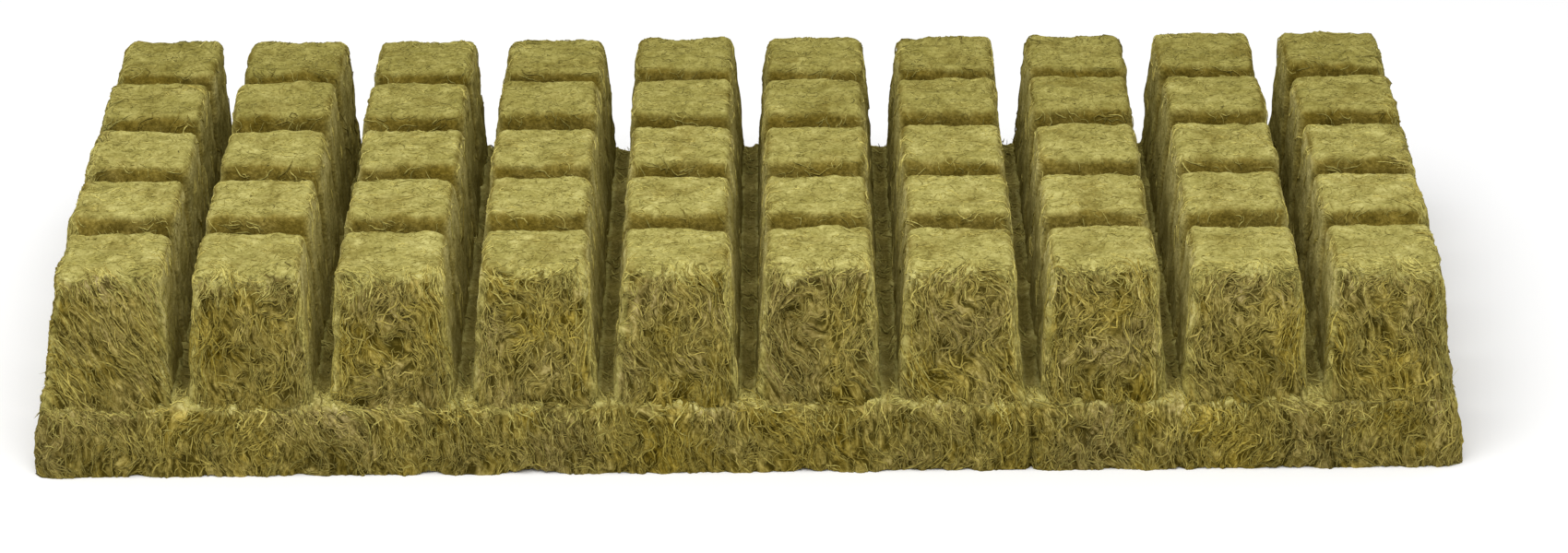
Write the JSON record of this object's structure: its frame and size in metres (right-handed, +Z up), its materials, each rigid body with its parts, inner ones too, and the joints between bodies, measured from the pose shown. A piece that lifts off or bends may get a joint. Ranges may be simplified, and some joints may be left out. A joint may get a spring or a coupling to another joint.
{
  "type": "stone-wool plug sheet",
  "caption": "Sheet of tapered stone-wool starter plugs in rows and columns on one fibrous base slab, each plug torn off upwards for sowing or planting.",
  "frame": {"origin": "centre of the base slab's underside", "axes": "+Z up out of the plugs' top faces; +X along the side with ten plugs, from column c01 to column c10; +Y along the side with five plugs, from the front row r1 to the back row r5"},
  "size_m": [0.254, 0.127, 0.0381],
  "materials": {
    "stone_wool_base": "matte, matted mineral fibre, dry, coarse vertical strands",
    "stone_wool_plug": "matte, matted mineral fibre, dry, felted nap on the top face"
  },
  "bodies": {
    "base": {"base_slab": "stone_wool_base"},
    "plug_r1c01": {"plug_r1c01": "stone_wool_plug"},
    "plug_r1c02": {"plug_r1c02": "stone_wool_plug"},
    "plug_r1c03": {"plug_r1c03": "stone_wool_plug"},
    "plug_r1c04": {"plug_r1c04": "stone_wool_plug"},
    "plug_r1c05": {"plug_r1c05": "stone_wool_plug"},
    "plug_r1c06": {"plug_r1c06": "stone_wool_plug"},
    "plug_r1c07": {"plug_r1c07": "stone_wool_plug"},
    "plug_r1c08": {"plug_r1c08": "stone_wool_plug"},
    "plug_r1c09": {"plug_r1c09": "stone_wool_plug"},
    "plug_r1c10": {"plug_r1c10": "stone_wool_plug"},
    "plug_r2c01": {"plug_r2c01": "stone_wool_plug"},
    "plug_r2c02": {"plug_r2c02": "stone_wool_plug"},
    "plug_r2c03": {"plug_r2c03": "stone_wool_plug"},
    "plug_r2c04": {"plug_r2c04": "stone_wool_plug"},
    "plug_r2c05": {"plug_r2c05": "stone_wool_plug"},
    "plug_r2c06": {"plug_r2c06": "stone_wool_plug"},
    "plug_r2c07": {"plug_r2c07": "stone_wool_plug"},
    "plug_r2c08": {"plug_r2c08": "stone_wool_plug"},
    "plug_r2c09": {"plug_r2c09": "stone_wool_plug"},
    "plug_r2c10": {"plug_r2c10": "stone_wool_plug"},
    "plug_r3c01": {"plug_r3c01": "stone_wool_plug"},
    "plug_r3c02": {"plug_r3c02": "stone_wool_plug"},
    "plug_r3c03": {"plug_r3c03": "stone_wool_plug"},
    "plug_r3c04": {"plug_r3c04": "stone_wool_plug"},
    "plug_r3c05": {"plug_r3c05": "stone_wool_plug"},
    "plug_r3c06": {"plug_r3c06": "stone_wool_plug"},
    "plug_r3c07": {"plug_r3c07": "stone_wool_plug"},
    "plug_r3c08": {"plug_r3c08": "stone_wool_plug"},
    "plug_r3c09": {"plug_r3c09": "stone_wool_plug"},
    "plug_r3c10": {"plug_r3c10": "stone_wool_plug"},
    "plug_r4c01": {"plug_r4c01": "stone_wool_plug"},
    "plug_r4c02": {"plug_r4c02": "stone_wool_plug"},
    "plug_r4c03": {"plug_r4c03": "stone_wool_plug"},
    "plug_r4c04": {"plug_r4c04": "stone_wool_plug"},
    "plug_r4c05": {"plug_r4c05": "stone_wool_plug"},
    "plug_r4c06": {"plug_r4c06": "stone_wool_plug"},
    "plug_r4c07": {"plug_r4c07": "stone_wool_plug"},
    "plug_r4c08": {"plug_r4c08": "stone_wool_plug"},
    "plug_r4c09": {"plug_r4c09": "stone_wool_plug"},
    "plug_r4c10": {"plug_r4c10": "stone_wool_plug"},
    "plug_r5c01": {"plug_r5c01": "stone_wool_plug"},
    "plug_r5c02": {"plug_r5c02": "stone_wool_plug"},
    "plug_r5c03": {"plug_r5c03": "stone_wool_plug"},
    "plug_r5c04": {"plug_r5c04": "stone_wool_plug"},
    "plug_r5c05": {"plug_r5c05": "stone_wool_plug"},
    "plug_r5c06": {"plug_r5c06": "stone_wool_plug"},
    "plug_r5c07": {"plug_r5c07": "stone_wool_plug"},
    "plug_r5c08": {"plug_r5c08": "stone_wool_plug"},
    "plug_r5c09": {"plug_r5c09": "stone_wool_plug"},
    "plug_r5c10": {"plug_r5c10": "stone_wool_plug"}
  },
  "joints": [
    {"name": "plug_r1c01_lift", "type": "slide", "parent": "base", "child": "plug_r1c01", "axis": [0, 0, 1], "range_m": [0, 0.03]},
    {"name": "plug_r1c02_lift", "type": "slide", "parent": "base", "child": "plug_r1c02", "axis": [0, 0, 1], "range_m": [0, 0.03]},
    {"name": "plug_r1c03_lift", "type": "slide", "parent": "base", "child": "plug_r1c03", "axis": [0, 0, 1], "range_m": [0, 0.03]},
    {"name": "plug_r1c04_lift", "type": "slide", "parent": "base", "child": "plug_r1c04", "axis": [0, 0, 1], "range_m": [0, 0.03]},
    {"name": "plug_r1c05_lift", "type": "slide", "parent": "base", "child": "plug_r1c05", "axis": [0, 0, 1], "range_m": [0, 0.03]},
    {"name": "plug_r1c06_lift", "type": "slide", "parent": "base", "child": "plug_r1c06", "axis": [0, 0, 1], "range_m": [0, 0.03]},
    {"name": "plug_r1c07_lift", "type": "slide", "parent": "base", "child": "plug_r1c07", "axis": [0, 0, 1], "range_m": [0, 0.03]},
    {"name": "plug_r1c08_lift", "type": "slide", "parent": "base", "child": "plug_r1c08", "axis": [0, 0, 1], "range_m": [0, 0.03]},
    {"name": "plug_r1c09_lift", "type": "slide", "parent": "base", "child": "plug_r1c09", "axis": [0, 0, 1], "range_m": [0, 0.03]},
    {"name": "plug_r1c10_lift", "type": "slide", "parent": "base", "child": "plug_r1c10", "axis": [0, 0, 1], "range_m": [0, 0.03]},
    {"name": "plug_r2c01_lift", "type": "slide", "parent": "base", "child": "plug_r2c01", "axis": [0, 0, 1], "range_m": [0, 0.03]},
    {"name": "plug_r2c02_lift", "type": "slide", "parent": "base", "child": "plug_r2c02", "axis": [0, 0, 1], "range_m": [0, 0.03]},
    {"name": "plug_r2c03_lift", "type": "slide", "parent": "base", "child": "plug_r2c03", "axis": [0, 0, 1], "range_m": [0, 0.03]},
    {"name": "plug_r2c04_lift", "type": "slide", "parent": "base", "child": "plug_r2c04", "axis": [0, 0, 1], "range_m": [0, 0.03]},
    {"name": "plug_r2c05_lift", "type": "slide", "parent": "base", "child": "plug_r2c05", "axis": [0, 0, 1], "range_m": [0, 0.03]},
    {"name": "plug_r2c06_lift", "type": "slide", "parent": "base", "child": "plug_r2c06", "axis": [0, 0, 1], "range_m": [0, 0.03]},
    {"name": "plug_r2c07_lift", "type": "slide", "parent": "base", "child": "plug_r2c07", "axis": [0, 0, 1], "range_m": [0, 0.03]},
    {"name": "plug_r2c08_lift", "type": "slide", "parent": "base", "child": "plug_r2c08", "axis": [0, 0, 1], "range_m": [0, 0.03]},
    {"name": "plug_r2c09_lift", "type": "slide", "parent": "base", "child": "plug_r2c09", "axis": [0, 0, 1], "range_m": [0, 0.03]},
    {"name": "plug_r2c10_lift", "type": "slide", "parent": "base", "child": "plug_r2c10", "axis": [0, 0, 1], "range_m": [0, 0.03]},
    {"name": "plug_r3c01_lift", "type": "slide", "parent": "base", "child": "plug_r3c01", "axis": [0, 0, 1], "range_m": [0, 0.03]},
    {"name": "plug_r3c02_lift", "type": "slide", "parent": "base", "child": "plug_r3c02", "axis": [0, 0, 1], "range_m": [0, 0.03]},
    {"name": "plug_r3c03_lift", "type": "slide", "parent": "base", "child": "plug_r3c03", "axis": [0, 0, 1], "range_m": [0, 0.03]},
    {"name": "plug_r3c04_lift", "type": "slide", "parent": "base", "child": "plug_r3c04", "axis": [0, 0, 1], "range_m": [0, 0.03]},
    {"name": "plug_r3c05_lift", "type": "slide", "parent": "base", "child": "plug_r3c05", "axis": [0, 0, 1], "range_m": [0, 0.03]},
    {"name": "plug_r3c06_lift", "type": "slide", "parent": "base", "child": "plug_r3c06", "axis": [0, 0, 1], "range_m": [0, 0.03]},
    {"name": "plug_r3c07_lift", "type": "slide", "parent": "base", "child": "plug_r3c07", "axis": [0, 0, 1], "range_m": [0, 0.03]},
    {"name": "plug_r3c08_lift", "type": "slide", "parent": "base", "child": "plug_r3c08", "axis": [0, 0, 1], "range_m": [0, 0.03]},
    {"name": "plug_r3c09_lift", "type": "slide", "parent": "base", "child": "plug_r3c09", "axis": [0, 0, 1], "range_m": [0, 0.03]},
    {"name": "plug_r3c10_lift", "type": "slide", "parent": "base", "child": "plug_r3c10", "axis": [0, 0, 1], "range_m": [0, 0.03]},
    {"name": "plug_r4c01_lift", "type": "slide", "parent": "base", "child": "plug_r4c01", "axis": [0, 0, 1], "range_m": [0, 0.03]},
    {"name": "plug_r4c02_lift", "type": "slide", "parent": "base", "child": "plug_r4c02", "axis": [0, 0, 1], "range_m": [0, 0.03]},
    {"name": "plug_r4c03_lift", "type": "slide", "parent": "base", "child": "plug_r4c03", "axis": [0, 0, 1], "range_m": [0, 0.03]},
    {"name": "plug_r4c04_lift", "type": "slide", "parent": "base", "child": "plug_r4c04", "axis": [0, 0, 1], "range_m": [0, 0.03]},
    {"name": "plug_r4c05_lift", "type": "slide", "parent": "base", "child": "plug_r4c05", "axis": [0, 0, 1], "range_m": [0, 0.03]},
    {"name": "plug_r4c06_lift", "type": "slide", "parent": "base", "child": "plug_r4c06", "axis": [0, 0, 1], "range_m": [0, 0.03]},
    {"name": "plug_r4c07_lift", "type": "slide", "parent": "base", "child": "plug_r4c07", "axis": [0, 0, 1], "range_m": [0, 0.03]},
    {"name": "plug_r4c08_lift", "type": "slide", "parent": "base", "child": "plug_r4c08", "axis": [0, 0, 1], "range_m": [0, 0.03]},
    {"name": "plug_r4c09_lift", "type": "slide", "parent": "base", "child": "plug_r4c09", "axis": [0, 0, 1], "range_m": [0, 0.03]},
    {"name": "plug_r4c10_lift", "type": "slide", "parent": "base", "child": "plug_r4c10", "axis": [0, 0, 1], "range_m": [0, 0.03]},
    {"name": "plug_r5c01_lift", "type": "slide", "parent": "base", "child": "plug_r5c01", "axis": [0, 0, 1], "range_m": [0, 0.03]},
    {"name": "plug_r5c02_lift", "type": "slide", "parent": "base", "child": "plug_r5c02", "axis": [0, 0, 1], "range_m": [0, 0.03]},
    {"name": "plug_r5c03_lift", "type": "slide", "parent": "base", "child": "plug_r5c03", "axis": [0, 0, 1], "range_m": [0, 0.03]},
    {"name": "plug_r5c04_lift", "type": "slide", "parent": "base", "child": "plug_r5c04", "axis": [0, 0, 1], "range_m": [0, 0.03]},
    {"name": "plug_r5c05_lift", "type": "slide", "parent": "base", "child": "plug_r5c05", "axis": [0, 0, 1], "range_m": [0, 0.03]},
    {"name": "plug_r5c06_lift", "type": "slide", "parent": "base", "child": "plug_r5c06", "axis": [0, 0, 1], "range_m": [0, 0.03]},
    {"name": "plug_r5c07_lift", "type": "slide", "parent": "base", "child": "plug_r5c07", "axis": [0, 0, 1], "range_m": [0, 0.03]},
    {"name": "plug_r5c08_lift", "type": "slide", "parent": "base", "child": "plug_r5c08", "axis": [0, 0, 1], "range_m": [0, 0.03]},
    {"name": "plug_r5c09_lift", "type": "slide", "parent": "base", "child": "plug_r5c09", "axis": [0, 0, 1], "range_m": [0, 0.03]},
    {"name": "plug_r5c10_lift", "type": "slide", "parent": "base", "child": "plug_r5c10", "axis": [0, 0, 1], "range_m": [0, 0.03]}
  ]
}
